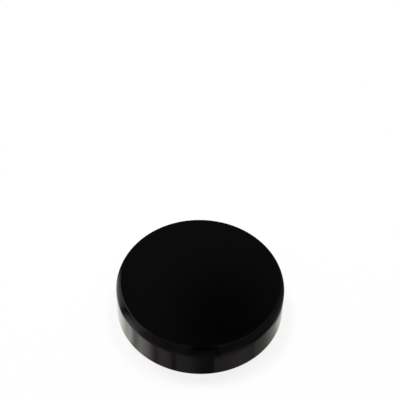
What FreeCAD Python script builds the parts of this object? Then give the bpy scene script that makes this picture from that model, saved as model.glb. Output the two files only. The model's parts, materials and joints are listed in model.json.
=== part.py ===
import FreeCAD, Part
import math
import os

# A smooth-walled plastic screw lid for a wide-mouth jar, with its sealing disc.
# Millimetres. The origin is the centre of the rim plane, +Z runs up through the deck,
# and the lid stands on its rim with its opening down.

Vector = FreeCAD.Vector
AXIS_FOOT = Vector(0, 0, 0)
UP = Vector(0, 0, 1)

# Outside of the moulding
outside_diameter = 72.6
height = 17.0
wall_draft = 0.5  # degrees, the wall widens towards the rim so that it leaves the mould
shoulder_width = 2.35  # from the wall in to the edge of the flat top
shoulder_depth = 4.4  # from the flat top down to where the wall starts
shoulder_top_round = 1.3  # the tight round beside the flat top
rim_round = 0.35

# Thickness of the moulding
wall_thickness = 1.15  # at the rim
deck_thickness = 1.6
mouth_flare_width = 0.35  # the inner edge of the rim opens out to find the neck
mouth_flare_height = 1.1

# Thread on the inside of the wall: right-handed, one start
thread_pitch = 4.233
thread_turns = 1.25
thread_height = 1.15  # how far the ridge stands in from the wall
thread_crest_width = 0.9
thread_start_height = 4.2  # from the rim up to the middle of the crest where the thread starts
load_flank_angle = 15.0  # degrees from level, the upper flank that pulls the lid down
free_flank_angle = 42.0  # degrees from level, the lower flank
thread_corner_round = 0.28
runout_angle = 9.0  # degrees of turn in which each end of the ridge sinks into the wall

# Sealing disc
liner_thickness = 1.0
liner_clearance = 0.2  # between the disc's edge and the corner of the deck

# Allowances that only shape the tools used to cut and join
weld_depth = 0.3  # the ridge's root runs this far into the wall
crest_trim = 0.06  # the swept crest is this much too tall, then bored to a true cylinder
bore_sectors = 4  # each crest face spans one sector of the bore

# Places worked out from the sizes above
rim_radius = outside_diameter / 2
deck_underside = height - deck_thickness
shoulder_base = height - shoulder_depth
shoulder_radius = rim_radius - shoulder_base * math.tan(math.radians(wall_draft))
flat_radius = shoulder_radius - shoulder_width
inner_radius = rim_radius - wall_thickness
crest_radius = inner_radius - thread_height
shoulder_round = (
    shoulder_width**2 + shoulder_depth**2 - 2 * shoulder_depth * shoulder_top_round
) / (2 * (shoulder_width - shoulder_top_round))
shoulder_centre = Vector(shoulder_radius - shoulder_round, 0, shoulder_base)
inner_round = inner_radius - shoulder_centre.x
seat_radius = shoulder_centre.x + math.sqrt(
    inner_round**2 - (deck_underside - shoulder_base) ** 2
)


def at(radius, level):
    """A point of the turned section, which lies in the XZ plane."""
    return Vector(radius, 0, level)


def line(start, end):
    return Part.makeLine(start, end)


def arc(centre, radius, start, end):
    """The shorter arc from start to end about a centre in the section plane."""
    middle = (start - centre) + (end - centre)
    middle.normalize()
    return Part.Arc(start, centre + middle * radius, end).toShape()


def outer_section():
    """The outside from the middle of the flat top down to the rim: flat, shoulder, wall, rim."""
    top_centre = at(flat_radius, height - shoulder_top_round)
    away = (top_centre - shoulder_centre).normalize()
    join = top_centre + away * shoulder_top_round
    flat_edge = at(flat_radius, height)
    wall_top = at(shoulder_radius, shoulder_base)
    wall_foot = at(rim_radius, rim_round)
    rim_edge = at(rim_radius - rim_round, 0)
    return [
        line(at(0, height), flat_edge),
        arc(top_centre, shoulder_top_round, flat_edge, join),
        arc(shoulder_centre, shoulder_round, join, wall_top),
        line(wall_top, wall_foot),
        arc(at(rim_radius - rim_round, rim_round), rim_round, wall_foot, rim_edge),
    ]


def inner_section():
    """The inside from the rim up: flared mouth, straight wall, corner, underside of the deck."""
    rim_edge = at(rim_radius - rim_round, 0)
    mouth = at(inner_radius + mouth_flare_width, 0)
    wall_foot = at(inner_radius, mouth_flare_height)
    wall_top = at(inner_radius, shoulder_base)
    seat_edge = at(seat_radius, deck_underside)
    return [
        line(rim_edge, mouth),
        line(mouth, wall_foot),
        line(wall_foot, wall_top),
        arc(shoulder_centre, inner_round, wall_top, seat_edge),
        line(seat_edge, at(0, deck_underside)),
    ]


def turned_shell():
    """The lid without its thread: the section turned once about the axis."""
    middle = line(at(0, deck_underside), at(0, height))
    section = Part.Wire(outer_section() + inner_section() + [middle])
    return Part.Face(section).revolve(AXIS_FOOT, UP, 360)


def rounded_corner(before, corner, after, radius):
    """The arc that rounds a corner, as its start, middle and end."""
    to_before = (before - corner).normalize()
    to_after = (after - corner).normalize()
    half = to_before.getAngle(to_after) / 2
    reach = radius / math.tan(half)
    inward = (to_before + to_after).normalize()
    centre = corner + inward * (radius / math.sin(half))
    return corner + to_before * reach, centre - inward * radius, corner + to_after * reach


def ridge_section():
    """The ridge's section at the start of the thread: flat crest, rounded corners, two flanks."""
    tip = crest_radius - crest_trim
    root = inner_radius + weld_depth
    depth = root - tip
    half_crest = thread_crest_width / 2
    crest_low = at(tip, thread_start_height - half_crest)
    crest_high = at(tip, thread_start_height + half_crest)
    root_low = at(root, crest_low.z - depth * math.tan(math.radians(free_flank_angle)))
    root_high = at(root, crest_high.z + depth * math.tan(math.radians(load_flank_angle)))
    low = rounded_corner(root_low, crest_low, crest_high, thread_corner_round)
    high = rounded_corner(crest_low, crest_high, root_high, thread_corner_round)
    return Part.Wire(
        [
            line(root_low, low[0]),
            Part.Arc(*low).toShape(),
            line(low[2], high[0]),
            Part.Arc(*high).toShape(),
            line(high[2], root_high),
            line(root_high, root_low),
        ]
    )


def runout_wedge(turns, towards):
    """The wedge that ramps the ridge into the wall where the thread has made so many turns.

    towards is +1 at the start of the thread, where the ridge goes on anticlockwise, and -1
    at its end. The wedge is one pitch tall, so it leaves the turns above and below alone.
    """
    foot = thread_start_height + thread_pitch * (turns - 0.5)

    def polar(radius, degrees):
        turned = math.radians(360 * turns + towards * degrees)
        return Vector(radius * math.cos(turned), radius * math.sin(turned), foot)

    behind_wall = inner_radius + weld_depth / 2
    inside = crest_radius - thread_height
    corners = [
        polar(behind_wall, 0),
        polar(crest_radius - 2 * crest_trim, runout_angle),
        polar(inside, 0),
        polar(inside, -runout_angle),
        polar(behind_wall, -runout_angle),
    ]
    outline = Part.makePolygon(corners + [corners[0]])
    return Part.Face(outline).extrude(UP * thread_pitch)


def crest_bore():
    """The bore that trims the ridge to its crest, as equal sectors of one cylinder."""
    angle = 360 / bore_sectors
    sector = Part.makeCylinder(crest_radius, height, AXIS_FOOT, UP, angle)
    return [sector.rotated(AXIS_FOOT, UP, angle * number) for number in range(bore_sectors)]


def thread_ridge():
    """The ridge: one sweep up a helix, bored to its crest and ramped into the wall at both ends."""
    helix = Part.makeHelix(thread_pitch, thread_pitch * thread_turns, inner_radius)
    helix.translate(UP * thread_start_height)
    swept = helix.makePipeShell([ridge_section()], True, True)
    wedges = [runout_wedge(0, 1), runout_wedge(thread_turns, -1)]
    return swept.cut(crest_bore() + wedges)


def lid_shell():
    """The whole moulding: the turned shell with the thread ridge grown from its wall."""
    return turned_shell().fuse(thread_ridge())


def liner():
    """The sealing disc, seated flat against the underside of the deck."""
    underside = deck_underside - liner_thickness
    return Part.makeCylinder(seat_radius - liner_clearance, liner_thickness, at(0, underside))


def save(name, shape):
    """Writes one sub-part, after it has shown that it is sound."""
    if not shape.isValid() or len(shape.Solids) != 1:
        raise RuntimeError(name + " is not one sound solid")
    shape.exportStep("parts/" + name + ".step")
    box = shape.optimalBoundingBox(False, False)
    size = [round(side, 3) for side in (box.XLength, box.YLength, box.ZLength)]
    print(name, "size", size, "volume", round(shape.Volume, 1), "faces", len(shape.Faces))


os.makedirs("parts", exist_ok=True)
save("lid_shell", lid_shell())
save("liner", liner())
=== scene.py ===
# %% [markdown]
# # A black screw lid for a jar
#
# This lesson dresses one small moulding: the glossy black screw lid of a wide-mouth jar. The lid
# is a plain form with no seams, no text and no second colour. So three things decide whether it
# looks real: a section with the right rounds, a surface with the faint unevenness of moulded
# plastic, and the things that stand around it, because black gloss shows little else than what
# it mirrors.
#
# The sizes come first from a fixed frame, a model of the lid in metres that stays exactly where
# it is. Everything that is made here is laid over that frame.

# %% Load the fixed frame
import json
import math

import bmesh
import bpy
from mathutils import Euler, Matrix, Vector


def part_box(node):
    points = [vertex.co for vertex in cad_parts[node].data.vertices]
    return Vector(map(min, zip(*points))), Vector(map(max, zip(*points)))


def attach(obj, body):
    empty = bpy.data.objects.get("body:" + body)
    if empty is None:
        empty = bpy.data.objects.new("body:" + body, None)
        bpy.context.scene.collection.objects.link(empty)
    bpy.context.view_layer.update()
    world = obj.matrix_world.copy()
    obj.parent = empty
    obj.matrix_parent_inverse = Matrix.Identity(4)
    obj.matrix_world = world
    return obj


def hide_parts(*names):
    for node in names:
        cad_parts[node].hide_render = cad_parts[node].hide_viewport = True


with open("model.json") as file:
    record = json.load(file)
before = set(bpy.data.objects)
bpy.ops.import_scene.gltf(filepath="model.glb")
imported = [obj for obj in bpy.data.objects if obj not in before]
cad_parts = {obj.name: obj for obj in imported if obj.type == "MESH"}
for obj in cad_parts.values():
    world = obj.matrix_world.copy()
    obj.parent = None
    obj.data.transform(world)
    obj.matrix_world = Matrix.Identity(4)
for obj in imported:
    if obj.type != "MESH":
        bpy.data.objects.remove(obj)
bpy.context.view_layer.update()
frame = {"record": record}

# %% [markdown]
# ## Sizes
#
# The outer size of the lid, the size of the sealing disc and the bore of the thread are read from
# the frame. They could be typed in again, but numbers that are kept in two places drift apart.
# The rounds and the shape of the thread are named here in millimetres, as a drawing would give
# them, and turned into metres once.

# %% Sizes of the moulding, from the frame and the drawing
MM = 0.001

lid_high = Vector(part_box("lid_shell")[1])
disc_low, disc_high = (Vector(corner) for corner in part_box("liner"))
mounts = {mount["name"]: mount for mount in frame["record"]["mounts"]}

rim_radius = lid_high.x
height = lid_high.z
deck_underside = disc_high.z
crest_radius = mounts["neck_thread"]["dims"]["r_mm"] * MM

wall_draft = math.radians(0.5)
shoulder_width = 2.35 * MM
shoulder_depth = 4.4 * MM
shoulder_top_round = 1.3 * MM
rim_round = 0.35 * MM
wall_thickness = 1.15 * MM
mouth_flare_width = 0.35 * MM
mouth_flare_height = 1.1 * MM

shoulder_base = height - shoulder_depth
shoulder_radius = rim_radius - shoulder_base * math.tan(wall_draft)
flat_radius = shoulder_radius - shoulder_width
inner_radius = rim_radius - wall_thickness
shoulder_round = (
    shoulder_width**2 + shoulder_depth**2 - 2 * shoulder_depth * shoulder_top_round
) / (2 * (shoulder_width - shoulder_top_round))
shoulder_centre = Vector((shoulder_radius - shoulder_round, 0, shoulder_base))
print(f"lid {2 * rim_radius / MM:.1f} mm across and {height / MM:.1f} mm high")
print(f"flat top {2 * flat_radius / MM:.1f} mm across, bore {2 * crest_radius / MM:.1f} mm")

# %% [markdown]
# ## A pen for sections
#
# A moulded lid is a body of revolution: draw half of its section, turn it once about the axis,
# and the form is done. A curve object with a bevel could do that too, and so could a Screw
# modifier. Here the section is drawn with mesh operators, because they give exact arcs. A single
# vertex is the pen. Extruding it draws a straight run, and spinning it about a centre draws an
# arc. A short extra run is put at each end of a straight stretch: it holds the smooth shading of
# the flat faces flat, so that the gloss doesn't ripple beside a round.

# %% The pen
ARC_STEP = math.radians(3)
HOLDING_RUN = 0.15 * MM


class Pen:
    """Draws a section in the XZ plane by moving one vertex of a mesh."""

    def __init__(self, start):
        self.mesh = bmesh.new()
        self.tip = self.mesh.verts.new(start)

    def line(self, end, hold=False):
        """A straight run to a point. With hold, a short run at each end keeps its faces flat."""
        start = self.tip.co.copy()
        end = Vector(end)
        stops = [end]
        if hold:
            short = (end - start).normalized() * HOLDING_RUN
            stops = [start + short, end - short, end]
        for stop in stops:
            self.tip = bmesh.ops.extrude_vert_indiv(self.mesh, verts=[self.tip])["verts"][0]
            self.tip.co = stop
        return self.tip

    def arc(self, centre, angle):
        """An arc about a centre. A positive angle turns from the top of the circle outwards."""
        steps = max(2, round(abs(angle) / ARC_STEP))
        drawn = bmesh.ops.spin(
            self.mesh, geom=[self.tip], cent=centre, axis=(0, 1, 0), angle=angle, steps=steps
        )
        self.tip = next(part for part in drawn["geom_last"] if isinstance(part, bmesh.types.BMVert))
        return self.tip


# %% [markdown]
# ## Rounding a corner of a section
#
# A small round between two straight runs is quicker to bevel than to draw. Bevelling a vertex
# asks for the distance along the edges at which the round starts, and not for its radius, so
# that distance is worked out from the angle of the corner.

# %% Round corners
ROUND_SEGMENTS = 4


def round_corners(mesh, corners, radius):
    """Rounds corners of a drawn section to a radius, as a vertex bevel does in the editor."""
    for corner in corners:
        back, onwards = (edge.other_vert(corner).co - corner.co for edge in corner.link_edges)
        reach = radius / math.tan(back.angle(onwards) / 2)
        bmesh.ops.bevel(
            mesh, geom=[corner], offset=reach, offset_type="OFFSET", segments=ROUND_SEGMENTS,
            profile=0.5, affect="VERTICES", material=-1,
        )


# %% [markdown]
# ## The moulding's section
#
# The outside runs from the middle of the flat deck over the shoulder and down the wall to the
# rim. The shoulder is two rounds that meet smoothly: a tight one beside the flat, which gives the
# deck its crisp edge, and a wide one that melts into the wall. The inside runs back from the rim:
# a flared mouth that finds the neck of the jar, the straight wall that carries the thread, and
# the corner under the deck.
#
# The large rounds could be bevels as well, but two bevels of different sizes don't flow into each
# other. So they are drawn as arcs, each from where the last one ended. Only the three inner
# corners are bevelled: they get the tiny rounds that a steel core leaves.

# %% Draw the section of the shell
CORE_ROUND = 0.12 * MM


def shell_section():
    """The closed half section of the lid, from the top of the axis round to its underside."""
    top_centre = Vector((flat_radius, 0, height - shoulder_top_round))
    lean = top_centre - shoulder_centre
    join_angle = math.atan2(lean.x, lean.z)
    pen = Pen((0, 0, height))
    pen.line((flat_radius, 0, height), hold=True)
    pen.arc(top_centre, join_angle)
    pen.arc(shoulder_centre, math.pi / 2 - join_angle)
    pen.line((rim_radius, 0, rim_round), hold=True)
    pen.arc((rim_radius - rim_round, 0, rim_round), math.pi / 2)
    mouth = pen.line((inner_radius + mouth_flare_width, 0, 0))
    wall_foot = pen.line((inner_radius, 0, mouth_flare_height))
    pen.line((inner_radius, 0, shoulder_base), hold=True)
    rise = math.asin((deck_underside - shoulder_base) / (inner_radius - shoulder_centre.x))
    seat = pen.arc(shoulder_centre, -rise)
    pen.line((0, 0, deck_underside), hold=True)
    round_corners(pen.mesh, [mouth, wall_foot, seat], CORE_ROUND)
    print(f"section of the shell: {len(pen.mesh.verts)} points")
    return pen.mesh


# %% [markdown]
# ## Turn the section
#
# One full spin makes the shell. A Screw modifier would turn it too, but its shape can only be
# measured and joined to other parts once it is applied. After the spin, the vertices on the axis
# lie on top of each other, so they are merged, which closes the middle of the deck on both sides.
# Only then are the normals worked out again, so that every face looks away from the plastic.

# %% Turn sections into solids
TURN_STEPS = 360
MERGE_DISTANCE = 0.001 * MM


def turned(section, steps=TURN_STEPS):
    """Turns a section once about the Z axis and closes it."""
    bmesh.ops.spin(
        section, geom=section.verts[:] + section.edges[:], cent=(0, 0, 0), axis=(0, 0, 1),
        angle=math.tau, steps=steps, use_merge=True,
    )
    bmesh.ops.remove_doubles(section, verts=section.verts, dist=MERGE_DISTANCE)
    bmesh.ops.recalc_face_normals(section, faces=section.faces)
    return section


def make_object(name, mesh, smooth=True):
    """Puts a bmesh into an object of its own, at the origin."""
    data = bpy.data.meshes.new(name)
    mesh.to_mesh(data)
    open_edges = sum(edge.is_boundary for edge in mesh.edges)
    volume = mesh.calc_volume(signed=True) / MM**3
    measure = f"{open_edges} open edges" if open_edges else f"closed, {volume:.0f} mm3"
    mesh.free()
    data.polygons.foreach_set("use_smooth", [smooth] * len(data.polygons))
    made = bpy.data.objects.new(name, data)
    bpy.context.collection.objects.link(made)
    print(f"{name}: {len(data.polygons)} faces, {measure}")
    return made


shell = make_object("lid_moulding", turned(shell_section()))

# %% [markdown]
# ## The thread
#
# Inside the wall runs one right-handed ridge of a turn and a quarter. Its upper flank is nearly
# level, because it pulls the lid down on the jar, and its lower flank leans so that the lid
# strips off its core. Its root lies inside the wall, so that the two overlap where they are
# joined. The ridge is drawn a hair too tall, rounded, and then trimmed to the bore of the neck,
# so that its crest is a part of a cylinder.

# %% Sizes of the thread
thread_pitch = 4.233 * MM
thread_turns = 1.25
thread_crest_width = 0.9 * MM
thread_start_height = 4.2 * MM
load_flank = math.radians(15)
free_flank = math.radians(42)
thread_corner_round = 0.28 * MM
runout = math.radians(9)
weld_depth = 0.3 * MM
crest_trim = 0.06 * MM

ridge_root = inner_radius + weld_depth
print(f"{thread_turns} turns that rise {thread_pitch * thread_turns / MM:.1f} mm")

# %% Draw the section of the ridge
def ridge_section():
    """The section where the thread starts: two flanks, a flat crest, a root inside the wall."""
    tip = crest_radius - crest_trim
    depth = ridge_root - tip
    low = thread_start_height - thread_crest_width / 2
    high = thread_start_height + thread_crest_width / 2
    pen = Pen((ridge_root, 0, low - depth * math.tan(free_flank)))
    first = pen.tip
    crest_low = pen.line((tip, 0, low))
    crest_high = pen.line((tip, 0, high))
    last = pen.line((ridge_root, 0, high + depth * math.tan(load_flank)))
    pen.mesh.edges.new((last, first))
    round_corners(pen.mesh, [crest_low, crest_high], thread_corner_round)
    for vert in pen.mesh.verts:
        vert.co.x = max(vert.co.x, crest_radius)
    print(f"section of the ridge: {len(pen.mesh.verts)} points")
    return pen.mesh


# %% [markdown]
# ## Sweep the ridge
#
# A Screw modifier could wind the section up its helix, but a spin with a little rise in each step
# makes the same helix and leaves a plain mesh.
#
# The ends of a real thread don't stop like a cut bar. They sink into the wall within a few
# degrees. So the spin is made one small step at a time and every ring of vertices is kept. The
# rings near the two ends are then flattened towards the root, softly at first and softly at last,
# until the end is buried in the wall.

# %% Wind the ridge and sink its ends
SWEEP_STEP = math.radians(1)
BURIED_SHARE = 0.1


def sink(ring, share):
    """Flattens a ring of the ridge. share is 0 at the end of the thread and 1 where it is full."""
    left = BURIED_SHARE + (1 - BURIED_SHARE) * share**2 * (3 - 2 * share)
    for vert in {vert for edge in ring for vert in edge.verts}:
        radius = vert.co.xy.length
        vert.co.xy *= (ridge_root - (ridge_root - radius) * left) / radius


def thread_ridge():
    """The ridge as a closed mesh, wound up its helix and with both ends sunk into the wall."""
    mesh = ridge_section()
    steps = round(math.tau * thread_turns / SWEEP_STEP)
    rise = thread_pitch * thread_turns / steps
    rings = [mesh.edges[:]]
    for _ in range(steps):
        corners = {vert for edge in rings[-1] for vert in edge.verts}
        spun = bmesh.ops.spin(
            mesh, geom=[*corners, *rings[-1]], cent=(0, 0, 0), axis=(0, 0, 1),
            angle=SWEEP_STEP, steps=1, dvec=(0, 0, rise),
        )
        rings.append([part for part in spun["geom_last"] if isinstance(part, bmesh.types.BMEdge)])
    for ring in (rings[0], rings[-1]):
        bmesh.ops.contextual_create(mesh, geom=ring)
    for number, ring in enumerate(rings):
        share = min(number, steps - number) * SWEEP_STEP / runout
        if share < 1:
            sink(ring, share)
    bmesh.ops.recalc_face_normals(mesh, faces=mesh.faces)
    return mesh


ridge = make_object("thread_ridge", thread_ridge())

# %% [markdown]
# ## Grow the ridge out of the wall
#
# The lid is one shot of plastic, so the ridge and the wall have to be one skin. The two meshes
# could simply be left inside each other, but then the foot of the ridge would be no edge of
# either. A Boolean modifier joins them, and its result is kept as the new mesh.
#
# Edges sharper than thirty degrees are then marked, so that every round stays smooth and every
# corner crisp. Where the ridge sinks into the wall, it leaves it at less than that, and the
# shading of one would bleed into the other. So the whole foot of the ridge is marked as well: it
# is the line where a face that lies on the wall meets one that doesn't.

# %% Join the ridge to the shell
SHARP_ANGLE = math.radians(30)


def join(target, tool):
    """Replaces the mesh of target by its union with tool, and removes tool."""
    union = target.modifiers.new("union", "BOOLEAN")
    union.operation = "UNION"
    union.solver = "EXACT"
    union.object = tool
    finished = target.evaluated_get(bpy.context.evaluated_depsgraph_get())
    result = bpy.data.meshes.new_from_object(finished)
    target.modifiers.clear()
    target.data = result
    bpy.data.objects.remove(tool)
    result.set_sharp_from_angle(angle=SHARP_ANGLE)
    print(f"joined: {len(result.polygons)} faces")


join(shell, ridge)

# %% Mark the foot of the ridge
WALL_TOLERANCE = 0.004 * MM  # the middle of a facet lies a little nearer the axis than its ends


def on_wall(face):
    """Whether a face lies on the straight inner wall."""
    return all(abs(vert.co.xy.length - inner_radius) < WALL_TOLERANCE for vert in face.verts)


def mark_foot(mesh):
    """Marks the line where the ridge leaves the wall as sharp."""
    lowest = thread_start_height - thread_pitch / 2
    highest = thread_start_height + thread_pitch * (thread_turns + 0.5)
    wall = {face for face in mesh.faces if on_wall(face)}
    foot = [
        edge for edge in mesh.edges
        if sum(face in wall for face in edge.link_faces) == 1
        and all(lowest < vert.co.z < highest for vert in edge.verts)
    ]
    for edge in foot:
        edge.smooth = False
    print(f"{len(foot)} edges along the foot of the ridge")


moulding = bmesh.new()
moulding.from_mesh(shell.data)
mark_foot(moulding)
loose_edges = sum(not edge.is_manifold for edge in moulding.edges)
print(f"{loose_edges} loose edges, {moulding.calc_volume(signed=True) / MM**3:.0f} mm3")
moulding.to_mesh(shell.data)
moulding.free()
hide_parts("lid_shell")
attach(shell, "root")

# %% [markdown]
# ## The sealing disc
#
# A disc punched from thin foam sheet lies against the underside of the deck, and the thread holds
# it in. A plain cylinder would fill the place, but it would look hard. The punch rolls the edge
# of the foam a little, and the sheet is never quite flat. So the disc is drawn and turned like
# the lid, with a few rings, a rounded edge, and a shallow unevenness that stays inside its
# thickness.

# %% Model the disc
disc_radius = disc_high.x
punch_round = 0.22 * MM
sag_depth = 0.05 * MM
DISC_RINGS = 14
DISC_TURN_STEPS = 180


def sealing_disc():
    """The foam disc, turned from its section, with a faint sag between middle and edge."""
    pen = Pen((0, 0, disc_high.z))
    upper = pen.line((disc_radius, 0, disc_high.z), hold=True)
    lower = pen.line((disc_radius, 0, disc_low.z))
    for ring in range(DISC_RINGS, 0, -1):
        share = (ring - 1) / DISC_RINGS
        lift = sag_depth * math.sin(math.pi * share) ** 2
        pen.line((disc_radius * share, 0, disc_low.z + lift))
    round_corners(pen.mesh, [upper, lower], punch_round)
    return turned(pen.mesh, steps=DISC_TURN_STEPS)


disc = make_object("foam_disc", sealing_disc())
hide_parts("liner")
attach(disc, "root")

# %% [markdown]
# ## Shader maths as plain formulas
#
# A material is a graph of nodes, and a graph built line by line hides the idea behind it. Here a
# small class wraps a socket and gives it the usual signs, so that `radius * 2` adds the Multiply
# node by itself, and `1 - mask` works too.

# %% A value that can be used in formulas
class Value:
    """An output socket of a net of nodes."""

    def __init__(self, net, socket):
        self.net = net
        self.socket = socket

    def math(self, operation, *others):
        return self.net.math(operation, self, *others)

    def __add__(self, other):
        return self.math("ADD", other)

    def __sub__(self, other):
        return self.math("SUBTRACT", other)

    def __rsub__(self, other):
        return self.net.math("SUBTRACT", other, self)

    def __mul__(self, other):
        return self.math("MULTIPLY", other)

    def __truediv__(self, other):
        return self.math("DIVIDE", other)

    def __rtruediv__(self, other):
        return self.net.math("DIVIDE", other, self)

    __radd__ = __add__
    __rmul__ = __mul__


def length(x, y):
    """The length of an arrow that goes as far as x to the side and as far as y along."""
    return (x * x + y * y).math("SQRT")


# %% [markdown]
# ## The net of nodes
#
# Every node comes from one method, which writes the node's settings first and then the values and
# links of its sockets, because a setting can change which sockets a node has. The other methods
# are the few kinds of node that this lesson uses again and again.

# %% A net of nodes
class Net:
    """The nodes of one material or of the world."""

    def __init__(self, owner):
        owner.use_nodes = True
        self.tree = owner.node_tree
        self.tree.nodes.clear()

    def node(self, kind, settings=None, inputs=None):
        """Adds a node: its settings are written first, then the values or links of its sockets."""
        node = self.tree.nodes.new(kind)
        for name, setting in (settings or {}).items():
            if name == "stops":
                self.set_stops(node.color_ramp.elements, setting)
            else:
                setattr(node, name, setting)
        for name, given in (inputs or {}).items():
            self.feed(node.inputs[name], given)
        return node

    def add(self, kind, settings=None, inputs=None, output=0):
        """Adds a node and gives one of its outputs as a value."""
        return Value(self, self.node(kind, settings, inputs).outputs[output])

    def feed(self, socket, given):
        """Links a value to a socket, or writes a number or colour on it."""
        if isinstance(given, Value):
            self.tree.links.new(given.socket, socket)
        elif socket.type == "RGBA" and isinstance(given, (int, float)):
            socket.default_value = (given, given, given, 1)
        else:
            socket.default_value = given

    @staticmethod
    def set_stops(elements, stops):
        """Writes the stops of a ramp, as pairs of place and grey level, from 0 to 1."""
        inner = [elements.new(place) for place, _ in stops[1:-1]]
        for element, (_, grey) in zip([elements[0], *inner, elements[-1]], stops):
            element.color = (grey, grey, grey, 1)

    def math(self, operation, *values):
        return self.add("ShaderNodeMath", {"operation": operation}, dict(enumerate(values)))

    def smooth(self, value, start, end, low=0.0, high=1.0):
        """Goes softly from low at start to high at end, and stays there outside."""
        names = ("Value", "From Min", "From Max", "To Min", "To Max")
        given = dict(zip(names, (value, start, end, low, high)))
        return self.add("ShaderNodeMapRange", {"interpolation_type": "SMOOTHSTEP"}, given)

    def compass(self, azimuth, levels):
        """Looks up the level for an azimuth in degrees, in a plan from -180 to 180."""
        stops = [((degrees + 180) / 360, level) for degrees, level in levels.items()]
        return self.add("ShaderNodeValToRGB", {"stops": stops}, {"Fac": (azimuth + 180) / 360})

    def blend(self, share, first, second):
        """Goes from the first colour to the second as the share goes from 0 to 1."""
        given = {"Factor": share, "A": first, "B": second}
        return self.add("ShaderNodeMix", {"data_type": "RGBA"}, given, output="Result")

    def mix_shaders(self, share, first, second):
        """Goes from the first shader to the second as the share goes from 0 to 1."""
        return self.add("ShaderNodeMixShader", None, {0: share, 1: first, 2: second})

    def place(self):
        """The place on the object, whole and as its X, Y and Z."""
        whole = self.add("ShaderNodeTexCoord", output="Object")
        split = self.node("ShaderNodeSeparateXYZ", None, {"Vector": whole})
        return (whole, *(Value(self, socket) for socket in split.outputs))

    def noise(self, vector, size, detail, roughness=0.5):
        """Soft noise between 0 and 1, whose lumps are about as wide as the size given."""
        given = {"Vector": vector, "Scale": 1 / size, "Detail": detail, "Roughness": roughness}
        return self.add("ShaderNodeTexNoise", None, given)

    def bump(self, height):
        """A bump from a height that is given in metres."""
        given = {"Strength": 1.0, "Distance": 1.0, "Height": height}
        return self.add("ShaderNodeBump", None, given, output="Normal")

    def finish(self, shader, kind="ShaderNodeOutputMaterial"):
        self.node(kind, None, {"Surface": shader})


def new_material(name):
    material = bpy.data.materials.new(name)
    return material, Net(material)


def dress(piece, material):
    """Gives a piece its one material."""
    piece.data.materials.clear()
    piece.data.materials.append(material)
    print(f"{piece.name} wears {material.name}, {len(material.node_tree.nodes)} nodes")


# %% [markdown]
# ## Black gloss plastic
#
# The black is mixed all through the plastic, so there is no paint and no edge wear. A clear coat
# over a dark base would shine as well, but there is no coat on the real lid, so one plain layer
# with the plastic's own index of refraction is used.
#
# What makes it look moulded is small: the wall and deck cool unevenly, so reflections bend by a
# fraction of a degree over every centimetre or so, with a much finer skin on top. A polished
# steel cavity shapes the outside, and a turned steel core shapes the inside, which comes out
# duller and with faint rings. Both zones lie on one mesh, so a mask made from the distance to the
# axis and the height tells them apart. The heights that feed the bump are in metres, so they can
# be read as real sizes: a hundredth of a millimetre and less.

# %% Mix the black gloss plastic
BLACK = 0.0004
PLASTIC_IOR = 1.49
CORE_IN_WALL = (inner_radius + 0.6 * MM, inner_radius + 0.4 * MM)
CORE_IN_DECK = (deck_underside + 0.4 * MM, deck_underside + 0.2 * MM)

# Width and height of each kind of unevenness.
COOLING_WAVES = (15 * MM, 0.010 * MM)
SKIN_GRAIN = (1.4 * MM, 0.0004 * MM)
TURNING_RINGS = (0.24 * MM, 0.0008 * MM)
CORE_GRAIN = (0.5 * MM, 0.003 * MM)

POLISHED = 0.05
HAZE_SIZE, HAZE = 9 * MM, 0.035
CORE_DULLNESS = 0.12


def black_plastic():
    """Polished outside, duller and faintly ringed inside."""
    material, net = new_material("black_gloss_plastic")
    where, x, y, z = net.place()
    inside = net.smooth(length(x, y), *CORE_IN_WALL) * net.smooth(z, *CORE_IN_DECK)

    waves = net.noise(where, COOLING_WAVES[0], detail=1.0) * COOLING_WAVES[1]
    grain = net.noise(where, SKIN_GRAIN[0], detail=3.0) * SKIN_GRAIN[1]
    rings = (z * (math.tau / TURNING_RINGS[0])).math("SINE") * TURNING_RINGS[1]
    core_marks = rings + net.noise(where, CORE_GRAIN[0], detail=3.0) * CORE_GRAIN[1]
    haze = net.noise(where, HAZE_SIZE, detail=4.0, roughness=0.6)

    look = {
        "Base Color": BLACK,
        "Roughness": POLISHED + haze * HAZE + inside * CORE_DULLNESS,
        "IOR": PLASTIC_IOR,
        "Normal": net.bump(waves + grain + inside * core_marks),
    }
    net.finish(net.add("ShaderNodeBsdfPrincipled", None, look))
    return material


dress(shell, black_plastic())

# %% [markdown]
# ## White foam
#
# The disc is closed-cell foam with a thin pressed skin. Close up, the skin shows the cells below
# it as a field of soft dimples less than half a millimetre wide, and the punched edge shows them
# cut open. The cells could be modelled, but at this size a bump says the same. The colour is a
# warm white that varies by a few percent, because the cells let through more light in some places
# than in others.

# %% Mix the white foam
FOAM_LIGHT, FOAM_DEEP = (0.88, 0.88, 0.865, 1), (0.82, 0.82, 0.795, 1)
FOAM_IOR = 1.45
CUT_EDGE = (disc_radius - 0.1 * MM, disc_radius - 0.02 * MM)
CELL_SIZE = 0.42 * MM
SKIN_DIMPLE, CUT_DIMPLE = 0.008 * MM, 0.06 * MM
FELT_SIZE, FELT_HEIGHT = 5 * MM, 0.04 * MM
FELT_SHARE = 0.6
SKIN_ROUGHNESS, CUT_ROUGHNESS = 0.5, 0.85


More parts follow.
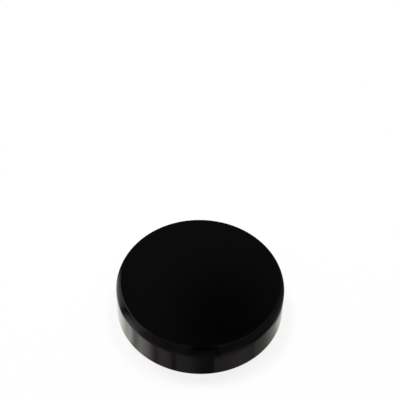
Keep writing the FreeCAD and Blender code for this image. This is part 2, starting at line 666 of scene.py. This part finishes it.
def white_foam():
    """A pressed skin over cells, which are cut open at the edge."""
    material, net = new_material("white_foam")
    where, x, y, _ = net.place()
    cut_edge = net.smooth(length(x, y), *CUT_EDGE)

    lumps = {"Vector": where, "Scale": 1 / CELL_SIZE}
    cells = net.add("ShaderNodeTexVoronoi", {"feature": "SMOOTH_F1"}, lumps)
    felt = net.noise(where, FELT_SIZE, detail=3.0)
    dimples = cells * (SKIN_DIMPLE + cut_edge * CUT_DIMPLE)
    depth = felt * FELT_SHARE + cells * (1 - FELT_SHARE)

    look = {
        "Base Color": net.blend(depth, FOAM_LIGHT, FOAM_DEEP),
        "Roughness": SKIN_ROUGHNESS + cut_edge * (CUT_ROUGHNESS - SKIN_ROUGHNESS),
        "IOR": FOAM_IOR,
        "Normal": net.bump(dimples + felt * FELT_HEIGHT),
    }
    net.finish(net.add("ShaderNodeBsdfPrincipled", None, look))
    return material


dress(disc, white_foam())

# %% [markdown]
# ## Sheets made ring by ring
#
# The floor is a sheet with a round hole. So is the tent that comes after it, only that it is
# folded up into a drum. A plane with a hole cut out of it would be uneven around the hole. So a
# circle is drawn, and its edge is extruded outwards ring by ring, each with a height of its own.

# %% Draw a sheet with a hole
def ringed(segments, opening, rings):
    """A sheet about the Z axis from an opening outwards. Each ring has a radius and a height."""
    mesh = bmesh.new()
    bmesh.ops.create_circle(mesh, segments=segments, radius=opening)
    edge_ring = mesh.edges[:]
    for radius, level in rings:
        made = bmesh.ops.extrude_edge_only(mesh, edges=edge_ring)["geom"]
        verts = [part for part in made if isinstance(part, bmesh.types.BMVert)]
        edges = [part for part in made if isinstance(part, bmesh.types.BMEdge)]
        edge_ring = [edge for edge in edges if all(vert in verts for vert in edge.verts)]
        grow = radius / verts[0].co.xy.length
        bmesh.ops.scale(mesh, vec=(grow, grow, 1), verts=verts)
        bmesh.ops.translate(mesh, vec=(0, 0, level - verts[0].co.z), verts=verts)
    return mesh, edge_ring


# %% [markdown]
# ## A pale floor
#
# The lid stands on a wide pale sheet. The sheet is matt white and takes the lid's shadow, but a
# picture for a catalogue is lit until that shadow is only a breath. More lamps could do that, but
# they would also wash out the lid. So the sheet is mixed with pure white for every ray that can
# be seen or mirrored: mostly at the lid, and wholly a hand's length away, so that no horizon
# shows. The sheet has a round opening that the lid hides, and it can't be seen from below, so
# that a camera under it looks into the lid.

# %% Lay the floor
FLOOR_RINGS = (0.06, 0.2, 1.0, 6.0)
FLOOR_SEGMENTS = 128
FLOOR_WHITE = 0.93
WHITE_AT_LID = 0.85
FADE_END = 0.14
HIDDEN_OPENING = inner_radius - 0.2 * MM


def seen_or_mirrored(net):
    """1 for camera, glossy and transmission rays, 0 for the light that a surface receives."""
    path = net.node("ShaderNodeLightPath")
    seen, glossy, passed = (
        Value(net, path.outputs[f"Is {kind} Ray"]) for kind in ("Camera", "Glossy", "Transmission")
    )
    return seen.math("MAXIMUM", glossy).math("MAXIMUM", passed)


def floor_material():
    """Matt white that fades into pure white, and nothing at all from below."""
    material, net = new_material("pale_sheet")
    _, x, y, _ = net.place()
    whiter = net.smooth(length(x, y), rim_radius, FADE_END, low=WHITE_AT_LID)
    matt = net.add("ShaderNodeBsdfDiffuse", None, {"Color": FLOOR_WHITE})
    white = net.add("ShaderNodeEmission", None, {"Color": 1.0, "Strength": 1.0})
    sheet = net.mix_shaders(whiter * seen_or_mirrored(net), matt, white)
    below = net.add("ShaderNodeNewGeometry", output="Backfacing")
    clear = net.add("ShaderNodeBsdfTransparent")
    net.finish(net.mix_shaders(below, sheet, clear))
    return material


def floor():
    """The sheet that the lid stands on. It takes shadows and casts none."""
    mesh, _ = ringed(FLOOR_SEGMENTS, HIDDEN_OPENING, [(radius, 0) for radius in FLOOR_RINGS])
    bmesh.ops.recalc_face_normals(mesh, faces=mesh.faces)
    if mesh.faces[:][0].normal.z < 0:
        bmesh.ops.reverse_faces(mesh, faces=mesh.faces)
    sheet = make_object("pale_sheet", mesh)
    dress(sheet, floor_material())
    sheet.visible_shadow = False


floor()

# %% [markdown]
# ## A painted plan of what the gloss mirrors
#
# Black gloss in an all-white room looks grey. So a photographer puts dark cloth around such a
# thing and opens it only where a reflection is wanted. A picture of a room could be wrapped
# around the lid instead, but a plan in plain numbers can be read and changed: it is a brightness
# for every direction of the compass, in degrees from the front and positive to the right.
#
# It takes two rows of painted reflection. The wall of the lid looks down on the strip of table
# beside it, and the shoulder looks out into the room. No window and no stand are in the scene: in
# both rows, painted bright bands at the left stand for the panes of a window, with painted dark
# bands for the bars of its frame between them. The front is dim, with a painted dark band in the
# middle for the shadow of a camera's stand, and the right is painted lighter again.

# %% Plan the strip and the room
# Painted reflection: the levels that the gloss mirrors, glowing from the tent; no lamp makes them.
STRIP = {
    # The back, and a wide painted bright band for a pane of the window.
    -180: 0.4, -90: 0.95, -78: 1.15, -70: 1.3, -65: 1.2, -60.5: 1.0, -54.5: 1.25,
    # A painted dark band for a bar of the frame, and a second painted bright band.
    -51.5: 0.68, -48.5: 0.48, -45.5: 0.72, -43: 0.90, -37: 0.72, -33: 0.36,
    # A painted dark band, a narrow dim band, and a last painted dark band.
    -30: 0.13, -26.5: 0.25, -22.3: 0.27, -18.8: 0.2, -16.3: 0.05,
    # The front, and a painted dark band for the shadow of a camera's stand.
    -14.2: 0.18, -6.4: 0.175, -1.8: 0.105, 3: 0.06, 9.8: 0.05,
    # The right, dim at first and brighter towards the side.
    11: 0.16, 30: 0.2, 39.5: 0.13, 42: 0.2, 51: 0.26, 60: 0.46, 64: 0.53, 72: 0.85, 180: 0.4,
}
ROOM = {
    # The back of the room.
    -180: 0.056, -150: 0.054, -144: 0.043, -136: 0.06,
    # Painted bright bands for a window: a pane, a painted dark bar, and a second pane.
    -130: 0.4, -124: 0.68, -112: 0.66, -105: 0.5, -100: 0.26, -96.5: 0.07,
    -92.5: 0.08, -89: 0.26, -84: 0.42, -78: 0.53, -72: 0.50, -67: 0.4, -62.5: 0.2,
    # The dim front, with one painted dark band for an upright bar of a camera's stand.
    -49: 0.145, -33: 0.10, -17: 0.115, -8: 0.075, 0: 0.065, 17: 0.06, 20: 0.02, 23: 0.085,
    # The right of the room, and the back again.
    49: 0.09, 93: 0.13, 112: 0.11, 128: 0.045, 150: 0.053, 180: 0.056,
}
print(f"{len(STRIP)} places on the strip, the brightest at {max(STRIP.values())}")
print(f"{len(ROOM)} places in the room, the brightest at {max(ROOM.values())}")

# %% [markdown]
# ## Two painted dark shapes
#
# Two painted dark shapes lie over the plan, as painted dark reflections. They could be real cards
# hung in the scene, but as formulas they keep a soft edge of any width.
#
# One is a painted dark reflection of a camera on its stand, seen from the lid as a narrow shape
# that rises from the horizon in front to past the zenith and grows slimmer on the way. The other
# is a soft painted dark patch on the ceiling, high behind the lid. The flat top mirrors it, which
# gives the top its slow change from nearly black in front to a very dark grey at the back. All
# angles are in degrees, as seen from the middle of the lid.

# %% The painted reflection of a camera on its stand
STAND_WIDTH = 14.4  # to each side at the horizon
STAND_TAPER = 0.111  # lost per degree upwards
STAND_ASIDE = 0.37  # of the width, to the right
STAND_EDGE = (1.15, 0.9)  # of the width
STAND_FOOT = (3, 8)  # over the front horizon
STAND_TOP = (118, 108)
# Painted shade: how much the stand's painted reflection darkens the tent's glow.
PAINTED_STAND_DARKNESS = 0.8


def in_degrees(radians):
    return radians * math.degrees(1)


def painted_stand_reflection(net, x, y, z):
    """How much the painted reflection of the camera and its stand darkens a place of the tent."""
    over = in_degrees(z.math("ARCTAN2", 0 - y))
    aside = in_degrees(x.math("ARCTAN2", length(y, z)))
    across = aside / (STAND_WIDTH - over * STAND_TAPER) - STAND_ASIDE
    body = net.smooth(across.math("ABSOLUTE"), *STAND_EDGE)
    return body * net.smooth(over, *STAND_FOOT) * net.smooth(over, *STAND_TOP) * PAINTED_STAND_DARKNESS


# %% The painted dark patch on the ceiling
PATCH_BEHIND = 3.0  # to the right of straight behind
PATCH_ELEVATION = 55.6
PATCH_FLATNESS = 1.6
PATCH_EDGE = (11, 0.3)
# Painted shade: how much the painted patch darkens the tent's glow.
PAINTED_PATCH_DARKNESS = 0.8


def painted_ceiling_patch(net, x, y, elevation):
    """How much the painted dark patch high behind the lid darkens a place of the tent."""
    sideways = in_degrees(x.math("ARCTAN2", y)) - PATCH_BEHIND
    upwards = (elevation - PATCH_ELEVATION) * PATCH_FLATNESS
    return net.smooth(length(sideways, upwards), *PATCH_EDGE) * PAINTED_PATCH_DARKNESS


# %% [markdown]
# ## The room beyond the strip
#
# The shoulder stands off the axis, so the room that it mirrors fans out a little, and it fans out
# more where the walls lean in overhead. The room is also painted brighter high up than low down,
# until it gives way to one even ceiling. On the table lie two soft painted spots: a painted pool
# of light at the left, and a painted shadow at the right beside the lid. Each has a place, a soft
# edge around it and a change of brightness. More stops in the plan couldn't say this, because a
# spot lies at one distance as well as in one direction.

# %% The brightness of the room
ROOM_PARALLAX = 10 * MM
ROOM_LEAN = 130  # degrees
# Painted light: the mirrored room is painted brighter high up.
UPPER_ROOM, UPPER_GAIN = (24, 54), 1.4  # degrees of elevation, and how much brighter it gets
# A painted pool of light at the left and a painted shadow at the right, on the mirrored table.
PAINTED_LIGHT_SPOT = ((-94 * MM, -21 * MM), (38 * MM, 10 * MM), 0.5)
PAINTED_SHADOW_SPOT = ((47 * MM, -28 * MM), (27 * MM, 8 * MM), -0.5)
CEILING = 0.105


def spot(net, x, y, place, edge, change):
    """How much brighter or darker a painted spot of the table is than the rest."""
    return net.smooth(length(x - place[0], y - place[1]), *edge) * change


def room_level(net, x, y, azimuth, elevation, overhead):
    """The painted brightness of the room and its ceiling, before the dark shapes lie over it."""
    lean = elevation / ROOM_LEAN
    fanned = azimuth * (1 + ROOM_PARALLAX / length(x, y)) / (1 + lean * lean)
    room = net.compass(fanned, ROOM) * net.smooth(elevation, *UPPER_ROOM, low=1.0, high=UPPER_GAIN)
    room = room * (1 + spot(net, x, y, *PAINTED_LIGHT_SPOT) + spot(net, x, y, *PAINTED_SHADOW_SPOT))
    return room * (1 - overhead) + CEILING * overhead


# %% [markdown]
# ## The strip's faint painted tints
#
# Light in a room is seldom quite white, so the strip's painted reflection has faint painted
# tints: a trace of green at the left, red in front and yellow at the right, with no coloured light
# in the scene to give them. Three coloured lamps could do this, but they would tint the floor too.
# The colours are faint on purpose, because on black gloss anything stronger looks like a stain.

# %% Tint the strip
# Painted tints of the mirrored strip: green at the left, red in front, yellow at the right.
PAINTED_GREEN_TINT, PAINTED_RED_TINT = (1.015, 1.028, 0.957, 1), (1.11, 0.935, 0.955, 1)
PAINTED_YELLOW_TINT, PLAIN = (1.055, 1.015, 0.93, 1), (1.0, 1.0, 1.0, 1)
RED_TINT_FROM, YELLOW_TINT_FROM = (-43, -33), (24, 42)  # degrees of azimuth


def strip_tint(net, azimuth, beyond):
    """The painted tint of the strip's reflection by azimuth, and plain white beyond it."""
    tint = net.blend(net.smooth(azimuth, *RED_TINT_FROM), PAINTED_GREEN_TINT, PAINTED_RED_TINT)
    tint = net.blend(net.smooth(azimuth, *YELLOW_TINT_FROM), tint, PAINTED_YELLOW_TINT)
    return net.blend(beyond, tint, PLAIN)


# %% [markdown]
# ## The tent's material
#
# The tent is no lamp, but it glows with the painted reflections: with the strip's brightness up
# to an edge in front and one at each side, then with the room's. A point of the strip that lies
# farther out is mirrored by a part of the wall that faces more to the front, so the strip fans
# out. Separate glowing cards could stand at each of these places, as in a real studio, but one
# material keeps the whole plan together.

# %% Mix the tent's material
STRIP_FRONT = (42.5 * MM, 46.5 * MM)  # from the axis, where the strip gives way to the room
STRIP_LEFT = (-38.6 * MM, -41.5 * MM)  # along X
STRIP_RIGHT = (37.2 * MM, 39.5 * MM)
STRIP_SQUEEZE = 0.045  # how much nearer the front edge comes towards the right
STRIP_FAN = 22.5  # share of the azimuth lost per metre outwards
CEILING_START = (57, 66)  # degrees of elevation


def tent_material():
    """The painted brightness and faint painted tint of every place of the tent."""
    material, net = new_material("tent")
    _, x, y, z = net.place()
    radius = length(x, y)
    azimuth = in_degrees(x.math("ARCTAN2", 0 - y))
    elevation = in_degrees(z.math("ARCTAN2", radius))

    overhead = net.smooth(elevation, *CEILING_START)
    beyond = net.smooth(radius + x * STRIP_SQUEEZE, *STRIP_FRONT)
    for edge in (net.smooth(x, *STRIP_LEFT), net.smooth(x, *STRIP_RIGHT), overhead):
        beyond = beyond.math("MAXIMUM", edge)

    fanned = azimuth * (1 - (radius - rim_radius) * STRIP_FAN)
    strip = net.compass(fanned, STRIP)
    room = room_level(net, x, y, azimuth, elevation, overhead) * (1 - painted_stand_reflection(net, x, y, z))
    level = (strip * (1 - beyond) + room * beyond) * (1 - painted_ceiling_patch(net, x, y, elevation))

    tinted = {0: strip_tint(net, fanned, beyond), "Scale": level}
    colour = net.add("ShaderNodeVectorMath", {"operation": "SCALE"}, tinted)
    # The tent glows with this painted reflection, though it is no lamp.
    net.finish(net.add("ShaderNodeEmission", None, {"Color": colour, "Strength": 1.0}))
    return material


# %% [markdown]
# ## Putting up the tent
#
# A round tent carries the plan. It starts just beside the lid, runs out over the table, up a wall
# and over the lid as a ceiling. It is built like the floor, from the opening round the lid
# outwards, and its last ring is filled to close the ceiling. It lies a hair over the sheet, so
# that mirrored rays meet the tent first. Only mirrored rays see it, so it neither shades the lid
# nor shows behind it.

# %% Put up the tent
TENT_GAP = rim_radius + 0.1 * MM
TENT_RADIUS = 0.9
TENT_HEIGHT = 1.6
TENT_SEGMENTS = 96
TENT_LIFT = 0.05 * MM


def tent():
    """The drum around the lid, which only mirrored rays see."""
    rings = [(TENT_RADIUS, 0), (TENT_RADIUS, TENT_HEIGHT), (TENT_GAP, TENT_HEIGHT)]
    mesh, last_ring = ringed(TENT_SEGMENTS, TENT_GAP, rings)
    bmesh.ops.contextual_create(mesh, geom=last_ring)
    bmesh.ops.translate(mesh, vec=(0, 0, TENT_LIFT), verts=mesh.verts)
    # A glowing sheet that only mirrored rays see: it carries the painted reflections.
    painted_reflection_sheet = make_object("tent", mesh, smooth=False)
    dress(painted_reflection_sheet, tent_material())
    painted_reflection_sheet.visible_camera = False
    painted_reflection_sheet.visible_diffuse = False
    painted_reflection_sheet.visible_transmission = False
    painted_reflection_sheet.visible_shadow = False


tent()

# %% [markdown]
# ## Lamps
#
# Two soft lamps stand behind the lid, the stronger one on the left. On the open sheet they add up
# to white with the light that comes from everywhere, and they leave a soft shadow in front of the
# lid. One large lamp overhead would be simpler, but its shadow would lie evenly all around.
#
# A small third lamp hangs just below the lid's opening, a little to the left and the front. It
# lights only what faces down, and its gleam along the lower flank of the thread shows the ridge
# to a camera under the sheet. The sheet casts no shadow, so it isn't in the lamp's way.

# %% Set the lamps
LAMP_DISTANCE = 1.0
LAMP_SIZE = 0.28
LOW_LAMP_DISTANCE = 0.063
LOW_LAMP_SIZE = 0.03


def direction(azimuth, elevation):
    """The direction of something at an azimuth from the front, positive to the right."""
    turn, rise = math.radians(azimuth), math.radians(elevation)
    return Vector(
        (math.sin(turn) * math.cos(rise), -math.cos(turn) * math.cos(rise), math.sin(rise))
    )


def lamp(name, azimuth, elevation, brightness, size=LAMP_SIZE, distance=LAMP_DISTANCE):
    """A square soft lamp. Its brightness is that of a matt white face that it alone lights."""
    light = bpy.data.lights.new(name, "AREA")
    light.size = size
    light.energy = brightness * math.pi**2 * distance**2
    holder = bpy.data.objects.new(name, light)
    bpy.context.collection.objects.link(holder)
    holder.location = direction(azimuth, elevation) * distance
    holder.rotation_euler = holder.location.to_track_quat("Z", "Y").to_euler()
    holder.visible_camera = False
    holder.visible_glossy = False
    print(f"{name}: {light.energy:.2f} W")
    return holder


lamp("left_back_lamp", azimuth=-140, elevation=66, brightness=0.58)
lamp("right_back_lamp", azimuth=150, elevation=66, brightness=0.38)
low_lamp = lamp(
    "lamp_below", azimuth=-40, elevation=-73, brightness=1.0,
    size=LOW_LAMP_SIZE, distance=LOW_LAMP_DISTANCE,
)
low_lamp.visible_glossy = True

# %% [markdown]
# ## The air of the studio
#
# The world is white to see and in mirrors, and gives a little light from everywhere. If it gave
# all of its white as light, the lid would have no shadow and no form. Light Path tells the two
# kinds of ray apart.

# %% Set the world
AMBIENT = 0.22


def studio_air():
    """The world: white where it is seen or mirrored, and a little light from everywhere."""
    world = bpy.data.worlds.new("studio")
    bpy.context.scene.world = world
    air = Net(world)
    level = seen_or_mirrored(air) * (1 - AMBIENT) + AMBIENT
    background = air.add("ShaderNodeBackground", None, {"Color": 1.0, "Strength": level})
    air.finish(background, "ShaderNodeOutputWorld")
    print(f"world of {len(world.node_tree.nodes)} nodes")


studio_air()

# %% [markdown]
# ## The camera
#
# The picture is taken from less than half a metre away and well above the lid, at fifty-three
# degrees to the table. The lid stands low in the frame, so the camera looks over it: it is tilted
# up by the angle at which the lid lies below the middle of the picture. It wasn't held quite
# level either, so it is rolled by a little over a degree about its own axis. A constraint could
# track the lid, but it would put it in the middle. So the place of the lid in the picture is
# turned back by the roll first, and the aim is worked out from there.

# %% Place the camera
PICTURE = 400  # pixels to a side
FOCAL_PIXELS = 1000
SENSOR = 36  # millimetres, as cameras give it
CLIPPING = (0.01, 20)
LID_PIXEL = (199.8, 304.0)
CAMERA_ELEVATION = 53.3
CAMERA_DISTANCE = 6.10 * 2 * rim_radius
CAMERA_ROLL = math.radians(1.4)


def aim():
    """The camera's rotation, with the middle of the lid's rim at its pixel."""
    off_middle = Vector(LID_PIXEL) - Vector((PICTURE / 2, PICTURE / 2))
    before_roll = Matrix.Rotation(-CAMERA_ROLL, 2) @ off_middle / FOCAL_PIXELS
    below_axis = math.atan(before_roll.y)
    look_down = math.radians(CAMERA_ELEVATION) - below_axis
    beside_axis = before_roll.x * math.cos(below_axis)
    pan = math.atan(beside_axis / math.cos(look_down + below_axis))
    print(f"looking {math.degrees(look_down):.1f} degrees down, {math.degrees(pan):.2f} aside")
    level = Euler((math.pi / 2 - look_down, 0, pan)).to_matrix()
    return (level @ Matrix.Rotation(CAMERA_ROLL, 3, "Z")).to_euler()


optics = bpy.data.cameras.new("camera")
optics.sensor_width = SENSOR
optics.lens = SENSOR * FOCAL_PIXELS / PICTURE
optics.clip_start, optics.clip_end = CLIPPING
camera = bpy.data.objects.new("camera", optics)
bpy.context.collection.objects.link(camera)
bpy.context.scene.camera = camera
camera.location = direction(azimuth=0, elevation=CAMERA_ELEVATION) * CAMERA_DISTANCE
camera.rotation_euler = aim()
print(f"camera {camera.location.length / MM:.0f} mm away")

# %% [markdown]
# ## Finish
#
# The picture's greys are meant as they are written, so the plain Standard view is set. The
# dressed lid may not be larger than the frame it was laid over.

# %% Finish
bpy.context.scene.view_settings.view_transform = "Standard"
